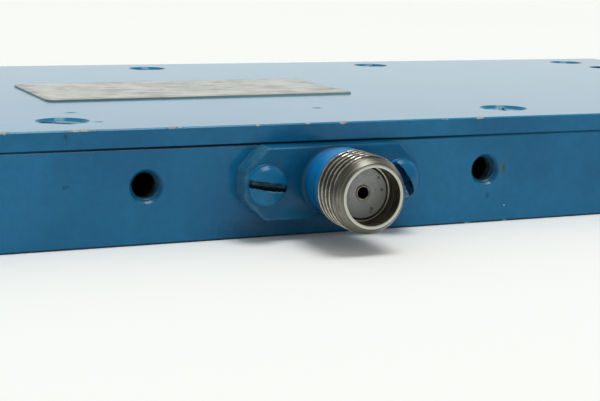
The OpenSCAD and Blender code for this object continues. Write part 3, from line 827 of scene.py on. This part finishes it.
def dome_mesh(name, seed):
    """A domed screw head with a worn slot along X, its top at zero, and its shank."""
    bm = bmesh.new()
    radius = SCREW_HEAD / 2
    side = SCREW_DOME / 2
    rise = SCREW_DOME - side
    ball = (radius * radius + rise * rise) / (2 * rise)
    rows = []
    columns = 56
    for v in head_rows():
        reach = math.sqrt(max(radius * radius - v * v, 1e-4))
        row = []
        for k in range(columns + 1):
            u = -reach * math.cos(math.pi * k / columns)
            away = min(math.hypot(u, v), radius)
            z = math.sqrt(ball * ball - away * away) - ball
            z -= 0.12 * ease(away, radius - 0.3, radius)
            z += 0.02 * noise.noise((u * 0.9, v * 0.9 + seed, 2.0))
            wear = 0.05 * noise.noise((u * 1.7 + seed, v * 1.7, 0.3))
            z += slot_share(v + wear) * min(-SLOT_DEPTH - z, 0.0)
            row.append(bm.verts.new((u, v, z)))
        rows.append(row)
    for a, b in zip(rows, rows[1:]):
        for k in range(columns):
            bm.faces.new((a[k], a[k + 1], b[k + 1], b[k]))
    bmesh.ops.remove_doubles(bm, verts=bm.verts, dist=0.004)
    # The head's side, which spreads a little where paint joins it to the flange
    rim = [e for e in bm.edges if e.is_boundary]
    for drop, swell in ((0.25, 1.0), (0.12, 1.0), (0.10, 1.05)):
        grown = bmesh.ops.extrude_edge_only(bm, edges=rim)["geom"]
        for vert in (g for g in grown if isinstance(g, bmesh.types.BMVert)):
            vert.co.z = min(vert.co.z - drop, -SCREW_DOME) if swell > 1 else vert.co.z - drop
            vert.co.x *= swell
            vert.co.y *= swell
        rim = [g for g in grown if isinstance(g, bmesh.types.BMEdge)]
    shank = FLANGE + SCREW_REACH
    bmesh.ops.create_cone(
        bm, cap_ends=True, segments=32, radius1=SCREW_SHANK_R, radius2=SCREW_SHANK_R, depth=shank,
        matrix=Matrix.Translation((0, 0, -SCREW_DOME - shank / 2)))
    return finish_mesh(bm, name, 50.0)


def hole_mesh(name):
    """The cut thread that lines a tapped hole, with the mouth at zero and the hole along -Z."""
    bm = bmesh.new()
    count, depth = 64, 0.16
    rows = []
    level = -0.2
    while level > -TAPPED_DEPTH:
        fade = ease(-level, 0.2, 0.5)
        row = []
        for k in range(count):
            share = k / count
            radius = TAPPED_R - 0.012 - depth * fade * thread_form(level / TAPPED_PITCH - share)
            angle = 2 * math.pi * share
            row.append((radius * math.cos(angle), radius * math.sin(angle), level))
        rows.append(row)
        level -= 0.045 if level > -3.2 else 0.09
    revolve(bm, rows, count)
    return finish_mesh(bm, name)


def outwards(x, side):
    """A socket's frame: Z out of the case, X along the face and Y up. side is -1 in front, 1 at the back."""
    axes = Matrix(((-side, 0, 0), (0, 0, side), (0, 1, 0))).to_4x4()
    return Matrix.Translation(Vector((x, side * FACE, AXIS_Z)) * MM) @ axes


def turned(degrees):
    return Matrix.Rotation(math.radians(degrees), 4, "Z")


def shifted(x, z):
    return Matrix.Translation(Vector((x, 0, z)) * MM)


blue_housing = painted_case("blue_housing", HOUSING_CHIPS_AND_GLINTS, HOUSING_PRIMER_AND_GLINT, HOUSING_MARKS_AND_SHADOW, housing_bare)
blue_lid = painted_case("blue_lid", LID_CHIPS, LID_PRIMER, LID_SCUFFS, lid_underside)
socket_metal = socket_finish()
screw_paint = screw_finish("screw_paint", -0.02, GRIME)
# The slot of the input's right screw is full of old paint, painted very dark as paint in shade, and no part
# of its floor is bare
filled_screw_paint = screw_finish("filled_screw_paint", 1.0, (0.002, 0.020, 0.045))
hole_metal = hole_finish()
input_gold = gold_finish("input_gold", to_input_axis)
output_gold = gold_finish("output_gold", to_output_axis)
waxy = insulator_finish()

input_frame = outwards(0, -1)
input_mesh = socket_mesh("input_socket", INPUT_FLANGE, 144, 0.032)
add_piece("input_socket", input_mesh, input_frame, socket_metal, ["input_shell"])
output_mesh = socket_mesh("output_socket", OUTPUT_FLANGE, 96, 0.05)
for index, x in enumerate(OUTPUT_X):
    add_piece(f"output_{index + 1}_socket", output_mesh, outwards(x, 1), socket_metal,
              [f"output_{index + 1}_shell"])

crown = FLANGE + SCREW_DOME
for name, side, turn, paint in (("left", -1, -9, screw_paint), ("right", 1, -57, filled_screw_paint)):
    place = input_frame @ shifted(side * INPUT_SCREWS / 2, crown) @ turned(turn)
    mesh = dome_mesh(f"input_screw_{name}", 3.0 + side)
    add_piece(f"input_flange_screw_{name}", mesh, place, paint, ["input_flange_screws"])
output_screw = dome_mesh("output_screw", 7.0)
for index, x in enumerate(OUTPUT_X):
    for name, side, turn in (("a", -1, (index + 1) * 53), ("b", 1, (index + 5) * 53)):
        place = outwards(x, 1) @ shifted(side * OUTPUT_SCREWS / 2, crown) @ turned(turn)
        add_piece(f"output_flange_screw_{index + 1}_{name}", output_screw, place, screw_paint,
                  ["output_flange_screws"])

tapped = hole_mesh("tapped_thread")
for name, side in (("left", -1), ("right", 1)):
    place = input_frame @ shifted(side * TAPPED_X, 0)
    add_piece(f"tapped_thread_{name}", tapped, place, hole_metal)

finishes = {
    "housing": blue_housing,
    "lid": blue_lid,
    "lid_screws": lid_screw_finish(),
    "nameplate": plate_finish(),
    "divider_board": board_finish(),
    "divider_trace": copper_finish(),
    "isolation_resistors": resistor_finish(),
    "board_screws": steel_finish(),
    "input_flange_screws": screw_paint,
    "output_flange_screws": screw_paint,
}
for name, node in nodes.items():
    if name.endswith("_insulator"):
        finish = waxy
    elif name.endswith("_contact"):
        finish = input_gold if name.startswith("input") else output_gold
    elif name.endswith("_shell"):
        finish = socket_metal
    else:
        finish = finishes[name]
    node.data.materials.clear()
    node.data.materials.append(finish)


# Floor, light and camera


def floor_finish():
    g = Graph("floor_finish")
    tone = g.span(g.noise(0.004, 2.0), 0.3, 0.7)
    colour = g.blend(tone, (0.94, 0.945, 0.918), (0.955, 0.96, 0.932))
    return g.surface(colour, 0.9, ior=1.2)


FLOOR_DROP = 0.02
bpy.ops.mesh.primitive_plane_add(size=6.0, location=(0, 0, -FLOOR_DROP * MM))
floor = bpy.context.object
floor.name = "floor"
floor.data.materials.append(floor_finish())

sun = bpy.data.lights.new("overhead", "SUN")
sun.energy = 1.45
sun.angle = math.radians(30)
sun_object = bpy.data.objects.new("overhead", sun)
bpy.context.scene.collection.objects.link(sun_object)
sun_object.rotation_euler = Vector((0.10, -0.16, 1.0)).to_track_quat("Z", "Y").to_euler()

world = bpy.data.worlds.new("studio")
bpy.context.scene.world = world
world.use_nodes = True
tree = world.node_tree
tree.nodes.clear()


def world_node(kind, *links, **settings):
    """A node of the world's tree, with its first inputs linked to outputs or set to numbers or colours."""
    node = tree.nodes.new(kind)
    for key, value in settings.items():
        setattr(node, key, value)
    for socket, value in zip(node.inputs, links):
        if isinstance(value, bpy.types.NodeSocket):
            tree.links.new(value, socket)
        else:
            socket.default_value = value
    return node


def world_math(operation, a, b, clamp=False):
    return world_node("ShaderNodeMath", a, b, operation=operation, use_clamp=clamp).outputs[0]


# A white sweep stands behind the object, and reflections meet a dimmer room above it and in front of it.
SWEEP_X, SWEEP_Y = 0.386, 0.922
DIM_LEVEL = 0.28
ray = world_node("ShaderNodeSeparateXYZ", world_node("ShaderNodeTexCoord").outputs["Generated"])
back_x = world_math("MULTIPLY", ray.outputs["X"], SWEEP_X)
back_y = world_math("MULTIPLY", ray.outputs["Y"], SWEEP_Y)
towards = world_math("ADD", back_x, back_y)
sweep = world_math("MULTIPLY", world_math("ADD", towards, 0.1), 1.6, clamp=True)
above = world_math("MULTIPLY", world_math("SUBTRACT", ray.outputs["Z"], 0.3), 2.0, clamp=True)
white_share = world_math("MULTIPLY", sweep, world_math("SUBTRACT", 1.0, above))
room_level = world_math("ADD", DIM_LEVEL, world_math("MULTIPLY", white_share, 1.0 - DIM_LEVEL))
path = world_node("ShaderNodeLightPath")
in_mirror = world_math("MAXIMUM", path.outputs["Is Glossy Ray"], path.outputs["Is Transmission Ray"])
SWEEP_COLOUR = (0.95, 0.97, 0.95, 1.0)
backdrop = world_node("ShaderNodeBackground", SWEEP_COLOUR, 1.0)
room = world_node("ShaderNodeBackground", SWEEP_COLOUR, room_level)
fill = world_node("ShaderNodeBackground", (0.97, 1.0, 0.985, 1.0), 0.575)
lit = world_node("ShaderNodeMixShader", in_mirror, fill.outputs[0], room.outputs[0])
shown = world_node("ShaderNodeMixShader", path.outputs["Is Camera Ray"], lit.outputs[0], backdrop.outputs[0])
world_node("ShaderNodeOutputWorld", shown.outputs[0])

# The camera stands where a fit of the sockets, holes and edges to the photograph puts it.
IMAGE_PX, FOCAL_PX = 600, 1280.23
SENSOR = 36.0
YAW, TILT, ROLL = 0.3968, -0.1840, 0.0191
EYE = Vector((-43.2996, -128.4559, 22.7213))
forward = Vector((math.sin(YAW) * math.cos(TILT), math.cos(YAW) * math.cos(TILT), math.sin(TILT)))
level_right = Vector((math.cos(YAW), -math.sin(YAW), 0))
level_up = level_right.cross(forward)
right = math.cos(ROLL) * level_right + math.sin(ROLL) * level_up
up = math.cos(ROLL) * level_up - math.sin(ROLL) * level_right
camera = bpy.data.cameras.new("camera")
camera.sensor_fit = "HORIZONTAL"
camera.sensor_width = SENSOR
camera.lens = FOCAL_PX / IMAGE_PX * SENSOR
camera.clip_start = 0.005
camera.clip_end = 20.0
camera_object = bpy.data.objects.new("camera", camera)
bpy.context.scene.collection.objects.link(camera_object)
axes = Matrix((right, up, -forward)).transposed().to_4x4()
camera_object.matrix_world = Matrix.Translation(EYE * MM) @ axes
bpy.context.scene.camera = camera_object
bpy.context.scene.view_settings.view_transform = "Standard"
